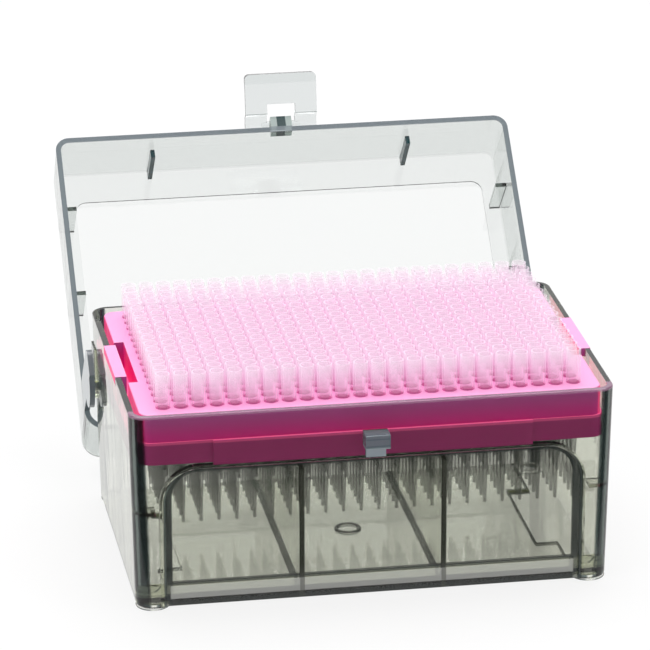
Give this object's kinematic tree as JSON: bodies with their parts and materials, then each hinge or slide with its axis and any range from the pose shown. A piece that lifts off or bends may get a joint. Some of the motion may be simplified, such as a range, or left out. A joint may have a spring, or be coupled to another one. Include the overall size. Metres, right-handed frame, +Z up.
{
  "type": "box of pipette tips",
  "caption": "Open box of small pipette tips in a magenta rack, with a smoke-grey base, a clear hinged lid and a front latch.",
  "frame": {"origin": "on the table, under the middle of the base", "axes": "+X to the right, +Y to the back, +Z up, seen from the front where the latch closes"},
  "size_m": [0.1256, 0.1645, 0.0933],
  "materials": {
    "smoke_plastic": "clear polished, smoke grey",
    "magenta_plastic": "translucent satin, magenta",
    "clear_tip_plastic": "clear, slightly frosted",
    "clear_lid_plastic": "clear polished, faint green grey",
    "clear_latch_plastic": "clear polished"
  },
  "bodies": {
    "base": {"base": "smoke_plastic", "tip_rack": "magenta_plastic", "tips_row_01": "clear_tip_plastic", "tips_row_02": "clear_tip_plastic", "tips_row_03": "clear_tip_plastic", "tips_row_04": "clear_tip_plastic", "tips_row_05": "clear_tip_plastic", "tips_row_06": "clear_tip_plastic", "tips_row_07": "clear_tip_plastic", "tips_row_08": "clear_tip_plastic", "tips_row_09": "clear_tip_plastic", "tips_row_10": "clear_tip_plastic", "tips_row_11": "clear_tip_plastic", "tips_row_12": "clear_tip_plastic", "tips_row_13": "clear_tip_plastic", "tips_row_14": "clear_tip_plastic", "tips_row_15": "clear_tip_plastic", "tips_row_16": "clear_tip_plastic"},
    "lid": {"lid": "clear_lid_plastic"},
    "latch": {"latch": "clear_latch_plastic"}
  },
  "joints": [
    {"name": "lid_hinge", "type": "hinge", "parent": "base", "child": "lid", "pos_m": [0, 0.037, 0.0322], "axis": [1, 0, 0], "range_deg": [0, 136.5]},
    {"name": "latch_hinge", "type": "hinge", "parent": "lid", "child": "latch", "pos_m": [0, 0.10793, 0.07869], "axis": [1, 0, 0], "range_deg": [-90, 52]}
  ]
}
